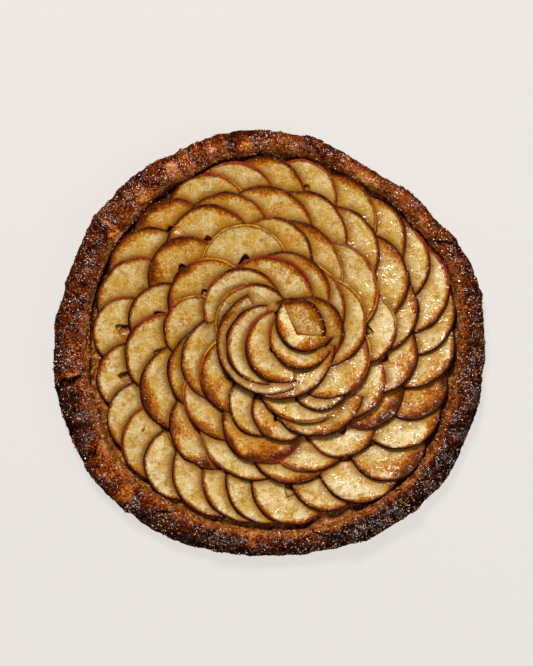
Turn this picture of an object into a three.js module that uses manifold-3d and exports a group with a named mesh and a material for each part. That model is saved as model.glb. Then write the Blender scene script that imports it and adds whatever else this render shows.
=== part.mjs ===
// An apple galette: a pastry case whose edge is folded up into a thick rim, filled with thin
// half-moon slices of apple. Three rings of slices lie like shingles, and a spiral of petals
// closes over the middle. Millimetres, +Z up. The origin is under the middle of the pastry,
// on the plane that it rests on.
import * as THREE from "three";
import { mergeVertices } from "three/addons/utils/BufferGeometryUtils.js";
import { ParametricGeometry } from "three/addons/geometries/ParametricGeometry.js";
import Module from "manifold-3d";

const wasm = await Module();
wasm.setup();

// ---- Pastry ----
const FLOOR = 3.6; // thickness of the flat pastry under the apples
const RIM_HEIGHT = 16.5; // crest of the rolled edge between its folds
const ROLL_CENTRE = 7.5; // height of the middle of the rolled edge's oval section
// Radius of the rim's outside and of its inner foot, every 20 degrees from +X
const OUTER_RADII = [
  156, 157, 149, 145, 151, 153, 152, 154, 151, 154, 157, 159, 159, 155, 155, 158, 162, 158,
];
const INNER_RADII = [
  137, 141, 134, 132, 136, 135, 132, 130, 129, 129, 133, 137, 135, 135, 137, 139, 141, 138,
];
// Folds of the edge: azimuth, turn of the fold's outer end, height, and the side (1 or -1
// along the azimuth) on which the fold ends in a free edge. Degrees and millimetres.
const FOLDS = [
  [12, 4, 2.5, 1],
  [30, -5, 3.5, -1],
  [54, -12, 3.0, 1],
  [76, 8, 2.5, 1],
  [100, 6, 3.0, -1],
  [126, 8, 2.0, 1],
  [146, -6, 4.5, -1],
  [166, -4, 2.0, 1],
  [190, 4, 5.0, 1],
  [212, 5, 3.0, -1],
  [236, -12, 4.0, 1],
  [254, 2, 3.0, -1],
  [289, 14, 4.0, -1],
  [316, -10, 3.0, 1],
  [336, 6, 2.5, -1],
];
const FOLD_EDGE = 1.2; // degrees over which a fold's free edge drops
const FOLD_FADE = 13; // degrees over which its other side fades away
const FOLD_SPREAD = 0.9; // how far a fold juts outward for its height
const RIM_SWELLS = 9; // low swells round the rim, with their height
const SWELL_HEIGHT = 0.5;
const AROUND_STEPS = 96;
const SECTION_STEPS = 10; // over the rolled edge, from the ground to its inner foot
const FLOOR_RINGS = [0, 0.5]; // rings of the flat pastry, as shares of the inner radius
const CRUST_STATIONS = 2 * FLOOR_RINGS.length + SECTION_STEPS;

// ---- Apple slices ----
const THICKNESS = 2.6;
const CUT_BACK = 1.5; // the straight cut lies this far behind the middle of the round edge
const CORE_WIDTH = 13; // hollow left by the core in the straight cut, a rounded V
const CORE_DEPTH = 11.5;
const CORE_ROUND = 2; // 1 is a sharp V, 2 is a round hollow
const ARC_STEPS = 8;
const CORE_STEPS = 4;
const SWEEP = 27; // degrees that a ring's slices are turned clockwise from pointing outward
const RING_LEAN = 11; // slope of a ring's slices, in degrees
const RING_UPHILL = 45; // degrees clockwise of outward in which they rise
const RUN_DEPTH = 5; // depth of slices that are joined with their neighbours

const GAP = 0.35; // air between two separate pieces
const EDGE_SAMPLES = 36; // places along a round edge at which it is laid on what is below
const CLEAR_ABOVE = 60; // height of the space kept free over a slice's underside
const GROUND_WIDTH = 500; // width of the space kept free under the slices
const FINEST = 0.2; // smallest step that a trimmed slice keeps
const SAME_POINT = 0.001; // points nearer than this are one
const LAYING_ROUNDS = 3; // each ring closes on itself, so it is laid again until it settles

// Rings of slices, counter-clockwise: azimuth, reach of the round edge from the ring's
// centre, and radius of that edge. Each slice lies on its clockwise neighbour. A fourth number
// is for a slice without the core's hollow: how far in front of the middle of its round edge
// the cut reaches.
const OUTER_RING = {
  name: "outer_slices",
  centre: [3, 3],
  run: 4, // touching slices that make one solid
  slices: [
    [151, 131, 31],
    [165, 130, 33, 0],
    [178, 130, 26],
    [196, 131, 26],
    [212, 136, 27],
    [224, 139, 30],
    [234, 139, 27, 0],
    [248, 137, 34],
    [260, 135, 33],
    [269, 135, 32],
    [278, 136, 30],
    [292, 133, 27, 0],
    [306, 140, 32, 0],
    [318, 140, 29, 0],
    [332, 135, 32],
    [342, 132, 27, 0],
    [358, 132, 33],
    [11, 134, 33],
    [21, 135, 34],
    [33, 130, 31],
    [48, 128, 33],
    [64, 128, 34],
    [79, 131, 27],
    [94, 131, 32],
    [107, 131, 33],
    [118, 130, 31],
    [135, 130, 30],
  ],
};
const MIDDLE_RING = {
  name: "middle_slice",
  centre: [3, 9],
  run: 1,
  slices: [
    [148, 101, 29],
    [175, 104, 27],
    [194, 109, 31],
    [214, 108, 33],
    [239, 113, 33],
    [261, 110, 42],
    [281, 113, 33],
    [291, 108, 33],
    [307, 109, 27],
    [327, 108, 28],
    [348, 107, 30],
    [12, 107, 33],
    [29, 108, 33],
    [52, 104, 34],
    [74, 103, 36],
    [95, 104, 36],
    [117, 107, 33],
    [128, 105, 32],
  ],
};
const INNER_RING = {
  name: "inner_slice",
  centre: [4, 4],
  run: 1,
  slices: [
    [151, 83, 31],
    [175, 80, 25, 0],
    [210, 83, 33],
    [233, 86, 34],
    [264, 92, 31],
    [330, 89, 29],
    [6, 89, 27],
    [40, 87, 36],
    [77, 85, 40],
    [92, 86, 30],
    [113, 85, 32],
  ],
};
// The spiral, from the lowest petal to the topmost: middle of the round edge (x, y), its
// radius, the azimuth it faces and in which it rises, and its lean from level. A sixth number
// is how far the cut reaches, as above: the topmost petal is cut to a deep V.
const SPIRAL = [
  [-31, -13, 32, 175, 13],
  [-19, -23, 30, 195, 13],
  [-5, -44, 24, 215, 13, 0],
  [11, -49, 23, 230, 13],
  [34, -32, 36, 256, 13],
  [27, -20, 38, 250, 13],
  [37, -27, 22, 270, 13],
  [42, -9, 32, 318, 13],
  [38, 14, 33, 0, 13],
  [20, 23, 36, 25, 14],
  [12, 32, 33, 50, 13],
  [-1, 27, 35, 62, 14],
  [-18, 24, 29, 110, 13],
  [-10, 14, 28, 120, 16],
  [29, 8, 25, 20, 24],
  [9, -1, 40, 266, 20],
  [1, 0, 38, 206, 20],
  [-1, -2, 29, 182, 24],
  [11, -3, 27, 198, 26],
  [18, 9, 23, 28, 24, 0],
  [24.5, 4.5, 24, 238, 26],
  [28, 15.5, 22.5, 235, 26, 11],
];

const CRUST_COLOUR = 0x7a3f1c;
const APPLE_COLOUR = 0xd9b978;

const radians = THREE.MathUtils.degToRad;

// ---- Pastry case ----

// Smooth value at an azimuth, in degrees, between values that stand evenly round the circle.
function aroundCircle(values, azimuth) {
  const step = 360 / values.length;
  const place = THREE.MathUtils.euclideanModulo(azimuth, 360) / step;
  const index = Math.floor(place);
  const blend = (1 - Math.cos(Math.PI * (place - index))) / 2;
  const from = values[index % values.length];
  const to = values[(index + 1) % values.length];
  return from + (to - from) * blend;
}

// Height of the folds at an azimuth and a place across the rim, from -1 at its inner side to
// 1 at its outside, with the low swells between them.
function foldHeight(azimuth, across) {
  let height = SWELL_HEIGHT * Math.sin(radians(RIM_SWELLS * azimuth));
  for (const [middle, turn, rise, side] of FOLDS) {
    const edge = middle + (turn * across) / 2;
    const past = side * (THREE.MathUtils.euclideanModulo(azimuth - edge + 180, 360) - 180);
    height += rise * Math.exp(past > 0 ? -past / FOLD_EDGE : past / FOLD_FADE);
  }
  return height;
}

// Point of the rolled edge's oval section: share runs from 0 on the ground outside to 1 on
// the floor inside, and the section is grown by a margin.
function rollPoint(azimuth, share, margin) {
  const outer = aroundCircle(OUTER_RADII, azimuth) + margin;
  const inner = aroundCircle(INNER_RADII, azimuth) - margin;
  const crown = RIM_HEIGHT - ROLL_CENTRE;
  const footTurn = -Math.asin(ROLL_CENTRE / crown);
  const floorTurn = Math.PI + Math.asin((ROLL_CENTRE - FLOOR) / crown);
  const turn = footTurn + (floorTurn - footTurn) * share;
  const across = Math.cos(turn);
  const above = Math.max(0, Math.sin(turn)); // folds stand on the upper half only
  const fold = foldHeight(azimuth, across) * above;
  const spread = FOLD_SPREAD * fold * Math.max(0, across);
  return {
    radius: (outer + inner) / 2 + ((outer - inner) / 2) * across + spread,
    height: ROLL_CENTRE + crown * Math.sin(turn) + fold,
  };
}

// Point of the pastry's skin, grown by a margin. Both around and along run from 0 to 1: along
// goes from the middle of the underside out to the edge, over the roll and in to the middle
// of the floor.
function crustPoint(around, along, margin, target) {
  const azimuth = 360 * around;
  const rings = FLOOR_RINGS.length;
  const station = Math.round(along * CRUST_STATIONS);
  const flat = FLOOR_RINGS[Math.min(station, CRUST_STATIONS - station)];
  let radius = flat * aroundCircle(INNER_RADII, azimuth);
  let height = station < rings ? 0 : FLOOR;
  if (flat === undefined) {
    const share = (station - rings) / SECTION_STEPS;
    ({ radius, height } = rollPoint(azimuth, share, margin));
  }
  target.set(radius * Math.cos(radians(azimuth)), radius * Math.sin(radians(azimuth)), height);
}

// ---- Laying the slices ----

function ringSlices(ring, ringNumber) {
  return ring.slices.map(([azimuth, reach, radius, cut], index) => {
    const distance = reach - radius;
    const runNumber = Math.floor(index / ring.run) + 1;
    return {
      name: `${ring.name}_${runNumber}`,
      ring: ringNumber,
      azimuth,
      x: ring.centre[0] + distance * Math.cos(radians(azimuth)),
      y: ring.centre[1] + distance * Math.sin(radians(azimuth)),
      radius,
      facing: radians(azimuth - SWEEP),
      uphill: radians(azimuth - RING_UPHILL),
      slope: Math.tan(radians(RING_LEAN)),
      depth: ring.run > 1 ? RUN_DEPTH : THICKNESS,
      cut,
    };
  });
}

function spiralSlices(ringNumber) {
  return SPIRAL.map(([x, y, radius, facing, lean, cut], index) => ({
    name: `petal_${index + 1}`,
    ring: ringNumber + index,
    x,
    y,
    radius,
    facing: radians(facing),
    uphill: radians(facing),
    slope: Math.tan(radians(lean)),
    depth: THICKNESS,
    cut,
  }));
}

// Whether a slice grown by a margin covers a point of the plan.
function covers(slice, x, y, margin) {
  const forward = (x - slice.x) * Math.cos(slice.facing) + (y - slice.y) * Math.sin(slice.facing);
  const distance = Math.hypot(x - slice.x, y - slice.y);
  return distance <= slice.radius + margin && forward >= -CUT_BACK - margin;
}

// Inside a ring each slice lies on those up to half a turn clockwise of it. A later ring
// lies on the earlier ones.
function liesUnder(lower, upper) {
  if (lower === upper) return false;
  if (lower.ring !== upper.ring) return lower.ring < upper.ring;
  const turn = THREE.MathUtils.euclideanModulo(upper.azimuth - lower.azimuth, 360);
  return turn > 0 && turn < 180;
}

// Rise of a slice's plane from the middle of its round edge to a point of the plan.
function rise(slice, x, y) {
  const forward = (x - slice.x) * Math.cos(slice.uphill) + (y - slice.y) * Math.sin(slice.uphill);
  return slice.slope * forward;
}

// Lays a slice so that the part of its round edge that shows rests, on average, on whatever
// is under it.
function laySlice(slice, all) {
  const below = all.filter((other) => other.height !== undefined && liesUnder(other, slice));
  const heights = [];
  for (let i = 0; i <= EDGE_SAMPLES; i++) {
    const turn = slice.facing + Math.PI * (i / EDGE_SAMPLES - 0.5);
    const x = slice.x + slice.radius * Math.cos(turn);
    const y = slice.y + slice.radius * Math.sin(turn);
    if (slice.above.some((upper) => covers(upper, x, y, 0))) continue;
    let ground = FLOOR;
    for (const other of below)
      if (covers(other, x, y, 0)) ground = Math.max(ground, other.height + rise(other, x, y) + THICKNESS);
    heights.push(ground + GAP - rise(slice, x, y));
  }
  const mean = heights.reduce((sum, height) => sum + height, 0) / heights.length;
  slice.height = Math.max(mean, FLOOR + GAP);
}

function layAll() {
  const rings = [OUTER_RING, MIDDLE_RING, INNER_RING].map(ringSlices);
  const petals = spiralSlices(rings.length);
  const all = [...rings.flat(), ...petals];
  for (const slice of all) slice.above = all.filter((other) => liesUnder(slice, other));
  for (const slices of rings)
    for (let round = 0; round < LAYING_ROUNDS; round++) slices.forEach((slice) => laySlice(slice, all));
  petals.forEach((petal) => laySlice(petal, all));
  return all;
}

// ---- Solids ----

// Half-moon outline grown by a margin: the round edge faces +X. The cut has the core's hollow,
// or it is a V from one end of the round edge to the other.
function sliceOutline(slice, margin) {
  const rim = slice.radius + margin;
  const back = CUT_BACK + margin;
  const coreWidth = CORE_WIDTH / 2 - margin;
  const coreDepth = CORE_DEPTH - margin;
  const half = Math.acos(-back / rim);
  const cored = slice.cut === undefined;
  const points = [];
  for (let i = 0; i <= ARC_STEPS; i++) {
    const turn = -half + (2 * half * i) / ARC_STEPS;
    points.push(new THREE.Vector2(rim * Math.cos(turn), rim * Math.sin(turn)));
  }
  if (!cored) points.push(new THREE.Vector2(slice.cut - margin, 0));
  for (let i = 0; i <= CORE_STEPS && cored; i++) {
    const side = 1 - (2 * i) / CORE_STEPS;
    const depth = coreDepth * (1 - Math.abs(side) ** CORE_ROUND);
    points.push(new THREE.Vector2(depth - back, coreWidth * side));
  }
  return new THREE.Shape(points);
}

// A sloping plate with a slice's outline, about the middle of its round edge and facing +X.
function plateGeometry(slice, margin, depth) {
  const outline = sliceOutline(slice, margin);
  const geometry = new THREE.ExtrudeGeometry(outline, { depth, bevelEnabled: false, steps: 1 });
  const turn = slice.uphill - slice.facing;
  const [alongX, alongY] = [slice.slope * Math.cos(turn), slice.slope * Math.sin(turn)];
  const shear = new THREE.Matrix4().set(1, 0, 0, 0, 0, 1, 0, 0, alongX, alongY, 1, 0, 0, 0, 0, 1);
  return geometry.applyMatrix4(shear);
}

// Where a plate of a slice stands, with its underside at a height.
function placeOf(slice, height) {
  const turned = new THREE.Matrix4().makeRotationZ(slice.facing);
  return turned.setPosition(slice.x, slice.y, height);
}

// Everything above a slice's underside, which the slices under it are trimmed back from.
function spaceAbove(slice) {
  const plate = plateGeometry(slice, GAP, CLEAR_ABOVE);
  const underside = slice.height + THICKNESS - slice.depth - GAP;
  return toSolid(plate.applyMatrix4(placeOf(slice, underside)));
}

// A closed geometry with only its positions, vertices shared and collapsed faces dropped.
function welded(geometry) {
  const bare = geometry.clone();
  bare.deleteAttribute("normal");
  bare.deleteAttribute("uv");
  const shared = mergeVertices(bare, SAME_POINT);
  const corners = Array.from(shared.index.array);
  const kept = [];
  for (let i = 0; i < corners.length; i += 3) {
    const [a, b, c] = corners.slice(i, i + 3);
    if (a !== b && b !== c && c !== a) kept.push(a, b, c);
  }
  shared.setIndex(kept);
  return shared;
}

function toSolid(geometry) {
  const shared = welded(geometry);
  return new wasm.Manifold(
    new wasm.Mesh({
      numProp: 3,
      vertProperties: shared.attributes.position.array,
      triVerts: new Uint32Array(shared.index.array),
    }),
  );
}

function fromSolid(solid) {
  const made = solid.getMesh();
  const geometry = new THREE.BufferGeometry();
  geometry.setAttribute("position", new THREE.BufferAttribute(made.vertProperties, made.numProp));
  geometry.setIndex(new THREE.BufferAttribute(made.triVerts, 1));
  geometry.computeVertexNormals();
  return geometry;
}

function crustGeometry(margin) {
  const point = (around, along, target) => crustPoint(around, along, margin, target);
  return welded(new ParametricGeometry(point, AROUND_STEPS, CRUST_STATIONS));
}

function crustMesh() {
  const geometry = crustGeometry(0);
  geometry.computeVertexNormals();
  const material = new THREE.MeshStandardMaterial({ color: CRUST_COLOUR, roughness: 0.6, metalness: 0 });
  const mesh = new THREE.Mesh(geometry, material);
  mesh.name = "crust";
  return mesh;
}

function appleMaterial() {
  return new THREE.MeshStandardMaterial({ color: APPLE_COLOUR, roughness: 0.35, metalness: 0 });
}

function overlapInPlan(one, other) {
  return Math.hypot(one.x - other.x, one.y - other.y) < one.radius + other.radius + GAP;
}

// The largest body of a solid, without steps too small to matter.
function largestBody(solid) {
  const bodies = solid.simplify(FINEST).decompose();
  return bodies.reduce((best, body) => (body.volume() > best.volume() ? body : best));
}

// The slices of one name, touching ones joined, trimmed back from the slices on top of them
// and from the pastry.
function appleSolid(name, all, pastry) {
  const own = all.filter((slice) => slice.name === name);
  let solid = own
    .map((slice) => {
      const plate = plateGeometry(slice, 0, slice.depth);
      return toSolid(plate.applyMatrix4(placeOf(slice, slice.height + THICKNESS - slice.depth)));
    })
    .reduce((whole, plate) => whole.add(plate));
  const uppers = new Set();
  for (const slice of own)
    for (const upper of slice.above)
      if (upper.name !== name && overlapInPlan(slice, upper)) uppers.add(upper);
  for (const upper of uppers) solid = solid.subtract(upper.space);
  return largestBody(solid.subtract(pastry));
}

// The rolled edge and floor, grown by the gap that is kept to them.
function pastrySpace() {
  const grown = crustGeometry(GAP).translate(0, 0, GAP);
  const ground = new THREE.BoxGeometry(GROUND_WIDTH, GROUND_WIDTH, 2 * FLOOR);
  return toSolid(grown).add(toSolid(ground.translate(0, 0, GAP)));
}

function appleGroup() {
  const all = layAll();
  const pastry = pastrySpace();
  for (const slice of all) slice.space = spaceAbove(slice);
  const group = new THREE.Group();
  for (const name of new Set(all.map((slice) => slice.name))) {
    const mesh = new THREE.Mesh(fromSolid(appleSolid(name, all, pastry)), appleMaterial());
    mesh.name = name;
    group.add(mesh);
  }
  return group;
}

const galette = new THREE.Group();
galette.add(crustMesh(), appleGroup());

export default galette;
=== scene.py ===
"""Looks of an apple galette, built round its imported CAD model.

Every CAD node gets one piece of its own here: the pastry case with juice on its floor, and the
apple slices as thin half-moons that start from their solids' planes and bend over each other.
Sugar crystals on the pastry and on the apples are two more pieces. Sizes are in millimetres
until a mesh is made, and azimuths are in degrees, counter-clockwise from +X.
"""
import math

import bpy
import numpy as np
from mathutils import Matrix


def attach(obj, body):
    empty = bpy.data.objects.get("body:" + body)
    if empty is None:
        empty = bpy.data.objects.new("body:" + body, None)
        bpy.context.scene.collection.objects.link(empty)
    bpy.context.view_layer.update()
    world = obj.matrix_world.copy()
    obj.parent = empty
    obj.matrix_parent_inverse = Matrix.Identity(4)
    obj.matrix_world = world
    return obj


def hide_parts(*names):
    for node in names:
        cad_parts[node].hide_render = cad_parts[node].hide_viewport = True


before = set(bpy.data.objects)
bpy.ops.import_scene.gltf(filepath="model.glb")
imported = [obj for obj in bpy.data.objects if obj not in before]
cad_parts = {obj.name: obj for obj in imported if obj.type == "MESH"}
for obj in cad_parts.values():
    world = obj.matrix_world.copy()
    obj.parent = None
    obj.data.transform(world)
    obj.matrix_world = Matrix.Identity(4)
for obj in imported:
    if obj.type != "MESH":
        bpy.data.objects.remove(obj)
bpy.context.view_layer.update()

MM = 0.001
SEED = 20

# ---- Pastry: its solid's sizes, with sharper folds ----
FLOOR = 3.6
RIM_HEIGHT = 16.5
ROLL_CENTRE = 7.5
OUTER_RADII = [156, 157, 149, 145, 151, 153, 152, 154, 151, 154, 157, 159, 159, 155, 155, 158, 162, 158]
INNER_RADII = [137, 141, 134, 132, 136, 135, 132, 130, 129, 129, 133, 137, 135, 135, 137, 139, 141, 138]
# Folds: azimuth, turn of the outer end, height, side of the free edge
FOLDS = [
    (12, 4, 2.5, 1),
    (30, -5, 3.5, -1),
    (54, -12, 3.0, 1),
    (76, 8, 2.5, 1),
    (100, 6, 3.0, -1),
    (126, 8, 2.0, 1),
    (146, -6, 4.5, -1),
    (166, -4, 2.0, 1),
    (190, 4, 5.0, 1),
    (212, 5, 3.0, -1),
    (236, -12, 4.0, 1),
    (254, 2, 3.0, -1),
    (289, 14, 4.0, -1),
    (316, -10, 3.0, 1),
    (336, 6, 2.5, -1),
]
FOLD_EDGE = 0.45  # degrees; finer than the solid's
FOLD_FADE = 11
FOLD_SPREAD = 0.9
FOLD_WANDER = 1.2
RIM_SWELLS = 9
SWELL_HEIGHT = 0.5
FOLD_BOOST = 1.15  # the solid's folds are lower, because its steps are coarser
SEAM_PLACE = 0.5  # degrees past a fold's free edge
SEAM_WIDTH = 0.45
SEAM_DEPTH = 0.9

# ---- The crust's surface ----
# How wide each kind of lump is, and how far it stands out
LUMP_SIZE = 17
LUMP_PUSH = 1.1
CRAG_SIZE = 7
CRAG_PUSH = 0.6
WRINKLE_SIZE = 3.4
WRINKLE_PUSH = 0.3
WRINKLE_STRETCH = 5  # they are longer across the rim
WRINKLE_RADIUS = 150  # at which they have their width
BLISTERS = [(4.2, 0.3), (1.9, 0.22)]
LEAF_THICKNESS = 1.9  # layers of the pastry, seen on the outer wall
LEAF_PUSH = 0.7
LEAF_WANDER = 0.9
# How dark the rim is, from 0 to 10, every 20 degrees from +X: its baking, and on the outside from 260 to
# 320 degrees painted shade as well
BAKE_AND_SHADE_OUTSIDE = [8, 7.8, 5.5, 5, 6, 6, 6.5, 6.5, 6.5, 7, 8, 7.5, 8.5, 9.5, 10, 10, 9.5, 8.5]
BAKE_CREST = [6.5, 5.5, 3.6, 3.2, 4.6, 4.4, 5, 6, 5.2, 4.8, 6.2, 4.8, 6, 6.5, 7.2, 7.8, 7.9, 7.2]
BAKE_INSIDE = [3.3, 2.1, 2.6, 2.2, 3.3, 3.3, 4, 4.3, 4.3, 4, 4.4, 3, 3.2, 2.1, 2.6, 2, 2.7, 4]
# What makes the crust darker or paler, as shares of the whole range from 0 to 10; the darkening along the
# seams is painted shade in the creases, with dark juice
BAKE_SHIFTS = {
    "everywhere": 0.1,
    "blotches": 0.11,
    "raised": -0.23,
    "foot": -0.32,
    "bare": -0.26,
    "seam_shade_and_juice": 0.45,
}
FOOT = (10, 3)  # heights between which the outer wall gets as pale as its foot
# Pale places without sugar: azimuth, place across the rim (1 outside, -1 inside), and how far
# they reach to each side, in degrees and across
BARE_PLACES = [
    (143.5, 0.0, 0.6, 1.3),
    (146, -0.6, 1.7, 0.5),
    (130.5, -0.3, 2.6, 0.6),
    (119, -0.2, 1.8, 1.0),
    (97, -0.3, 3.0, 0.4),
    (57, -0.5, 5.0, 0.5),
    (189.5, 0.1, 0.6, 1.3),
    (227, 0.2, 2.0, 0.9),
    (212, -0.5, 2.2, 0.5),
    (266, -0.4, 4.2, 0.8),
]
# Caramel that shines, with less sugar on it; places as above
GLAZED_PLACES = [
    (22, -0.2, 4.0, 0.5),
    (47, 0.0, 6.0, 0.7),
    (64, 0.1, 8.0, 0.7),
    (84, 0.2, 6.0, 0.6),
    (176, -0.4, 4.0, 0.5),
    (205, -0.3, 4.0, 0.5),
    (252, -0.4, 5.0, 0.5),
    (290, -0.4, 7.0, 0.6),
    (304, -0.3, 6.0, 0.6),
    (319, -0.3, 7.0, 0.6),
    (334, -0.3, 5.0, 0.5),
]
CRUST_AROUND = 1120  # mesh steps round the rim
CRUST_SECTION = 72  # mesh steps over the rolled edge
CRUST_AZIMUTHS = np.arange(CRUST_AROUND) * 360 / CRUST_AROUND
CRUST_FLATS = (0.5, 0.62, 0.74, 0.86, 0.94)  # rings of the flat pastry, as shares of the inner radius
# The crust's attributes in the middle of its underside, and on its pale and syrupy floor
CRUST_ENDS = {
    "bake_and_shade": (0.4, 0.26),
    "inside": (0, 0.8),
    "under": (1, 0),
    "bare": (0, 0),
    "glaze": (0, 0),
}
GLAZE_SUGARLESS = 0.25  # how much a glazed place keeps sugar off, if a bare one does by 1
JUICE_DEPTH = 3.4  # thick juice, seen only in the slices' core hollows
JUICE_SHARES = (0.86, 0.5)  # where it starts and where it is deepest

# ---- Slices: the same sizes as their solids ----
THICKNESS = 2.6
CUT_BACK = 1.5
CORE_WIDTH = 13
CORE_DEPTH = 11.5
CORE_ROUND = 2
CUT_ROUND = 1.15
SWEEP = 27
RING_LEAN = 11
RING_UPHILL = 45
GAP = 0.35
EDGE_SAMPLES = 36
LAYING_ROUNDS = 3

# Rings of slices: azimuth, reach, radius of the round edge, then the look at the clockwise end
# of the round edge and at its other end: how brown it is baked (0 to 9) and the skin's colour
# (d dark, r red, y yellow). A last number is how deep the cut is, where the cut doesn't show
# the core's hollow.
OUTER_RING = [
    (151, 131, 31, "5d7d"),
    (165, 130, 33, "4r6d", 0),
    (178, 130, 26, "2r4d"),
    (196, 131, 26, "4d5d"),
    (212, 136, 27, "3d5d"),
    (224, 139, 30, "3r5d"),
    (234, 139, 27, "2d5d", 0),
    (248, 137, 34, "4d3d"),
    (260, 135, 33, "3r2d"),
    (269, 135, 32, "3d2d"),
    (278, 136, 30, "3d5r"),
    (292, 133, 27, "5d8d", 0),
    (306, 140, 32, "4d7d", 0),
    (318, 140, 29, "5d9d", 0),
    (332, 135, 32, "4d7d"),
    (342, 132, 27, "7d7d", 0),
    (358, 132, 33, "4d5d"),
    (11, 134, 33, "4d5d"),
    (21, 135, 34, "6d4r"),
    (33, 130, 31, "5d3r"),
    (48, 128, 33, "3r6d"),
    (64, 128, 34, "2y7d"),
    (79, 131, 27, "1r2r"),
    (94, 131, 32, "3r7d"),
    (107, 131, 33, "1r1r"),
    (118, 130, 31, "3y5d"),
    (135, 130, 30, "6r8d"),
]
MIDDLE_RING = [
    (148, 101, 29, "6r9d"),
    (175, 104, 27, "3d5d"),
    (194, 109, 31, "4r6d"),
    (214, 108, 33, "5d9d"),
    (239, 113, 33, "5d9d"),
    (261, 110, 42, "2y2d"),
    (281, 113, 33, "3d8d"),
    (291, 108, 33, "3y5d"),
    (307, 109, 27, "3r7d"),
    (327, 108, 28, "7r9d"),
    (348, 107, 30, "3d8d"),
    (12, 107, 33, "4d8d"),
    (29, 108, 33, "3r7d"),
    (52, 104, 34, "2r6d"),
    (74, 103, 36, "3r6d"),
    (95, 104, 36, "5r8d"),
    (117, 107, 33, "4r7d"),
    (128, 105, 32, "4r6d"),
]
INNER_RING = [
    (151, 83, 31, "4y9d"),
    (175, 80, 25, "3y5d", 0),
    (210, 83, 33, "7d5d"),
    (233, 86, 34, "1y7d"),
    (264, 92, 31, "7d7r"),
    (330, 89, 29, "6d5r"),
    (6, 89, 27, "5d2y"),
    (40, 87, 36, "3y3r"),
    (77, 85, 40, "3y6d"),
    (92, 86, 30, "5d3r"),
    (113, 85, 32, "1y2y"),
]
RINGS = [  # name, centre, slices that share a node, and the slices themselves
    ("outer_slices", (3, 3), 4, OUTER_RING),
    ("middle_slice", (3, 9), 1, MIDDLE_RING),
    ("inner_slice", (4, 4), 1, INNER_RING),
]
# The spiral, lowest first: x, y, radius, facing, lean, then the look as above
SPIRAL = [
    (-31, -13, 32, 175, 13, "4d6d"),
    (-19, -23, 30, 195, 13, "5y8d"),
    (-5, -44, 24, 215, 13, "4d3d", 0),
    (11, -49, 23, 230, 13, "5d6d"),
    (34, -32, 36, 256, 13, "4d6d"),
    (27, -20, 38, 250, 13, "3d2y"),
    (37, -27, 22, 270, 13, "2d3d"),
    (42, -9, 32, 318, 13, "5d7y"),
    (38, 14, 33, 0, 13, "6d2y"),
    (20, 23, 36, 25, 14, "5d2y"),
    (12, 32, 33, 50, 13, "4r6d"),
    (-1, 27, 35, 62, 14, "6r6r"),
    (-18, 24, 29, 110, 13, "4d3r"),
    (-10, 14, 28, 120, 16, "4d2y"),
    (29, 8, 25, 20, 24, "3r5d"),
    (9, -1, 40, 266, 20, "4r5d"),
    (1, 0, 38, 206, 20, "7d1d"),
    (-1, -2, 29, 182, 24, "5d4d"),
    (11, -3, 27, 198, 26, "3r6d"),
    (18, 9, 23, 28, 24, "7d6d", 0),
    (24.5, 4.5, 24, 238, 26, "3r5d"),
    (28, 15.5, 22.5, 235, 26, "5d8d", 11),
]

# ---- How a slice bends ----
DRAPING_ROUNDS = 2
BEND_REACH = 12  # a slice lifts off this far from the edge of one it lies on
BEND_CURVE = 0.05
BEND_ROUND = 0.8
BEND_STEP = 1.2
SAG_GAP = 0.8
SAG_SLOPE = 0.35
LAYER = 0.5  # a slice's top is at least this much above the top of one it lies on
EDGE_ROUNDING = 1.4  # radius over which a slice's edge is rounded
WAVES = [(0.45, 34), (0.3, 15), (0.14, 6)]  # height and length
CURL_HEIGHT = 0.9  # lift of the round edge
CURL_WIDTH = 8
OUTLINE_WOBBLE = 1.0
WOBBLE_LENGTH = 9
LOWEST = 1.0  # no slice reaches lower into the pastry's floor

# ---- How a slice looks ----
BROWNEST = 9
SKIN_HUES = {"d": 0.0, "r": 0.5, "y": 1.0}
LOOK_TURNS = (-1.25, 0.95)  # radians between which one end's look fades into the other's
FIBRE_PLACE = 0.6  # share of the radius at which the flesh's fibres have their width
FIBRE_STRETCH = 0.13  # their width, as a share of their length
GOLDEN_SHADED_SIDE = 125  # azimuth of the rings' most golden slices, whose flesh is darkest there: a golden tint and painted shade
GOLDEN_MIDDLE = 0.1
GOLDEN_RANGE = 0.75
TONE_CHANCE = 0.35
PETAL_TONE = -0.4
BAND_WIDTH = 1.7  # of the toasted band along the round edge of the palest slice
BROWN_WIDTH = 7.5  # what full browning adds to it
BAND_BROWN = 0.55
CUT_LINE = 2.2  # width of the browned line along the cut
CUT_BROWN = 0.5
DEEP_CUT_BROWN = 0.8
SHADE_JUICE_FADE = 2.5  # how far the painted shade and dark juice beside a slice that lies on top reach
HOLLOW_SHADE_JUICE = 0.5  # and how strong they are in the hollow of that slice's core

# ---- Mesh of a slice ----
ARC_POINTS = 72
CUT_POINTS = 30
OUTLINE_POINTS = ARC_POINTS + CUT_POINTS
# Rings of vertices on the top and on the underside, as shares of the way to the middle
SLICE_RINGS = (0.0, 0.012, 0.026, 0.042, 0.065, 0.095, 0.13, 0.17, 0.21, 0.26, 0.31, 0.36, 0.42,
               0.48, 0.54, 0.61, 0.68, 0.76, 0.84, 0.93)
UNDER_RINGS = (0.03, 0.08, 0.3, 0.7)
MIDDLE = 0.52  # where the rings close in, as a share of the radius
DEEP_CUT_MIDDLE = 0.75
LEAST_THICKNESS = 0.3
FAR = 9.0  # distance given to places that are far from an edge
WAVY_REACH = 3  # this near the round edge, distances from it follow its waves

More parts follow.
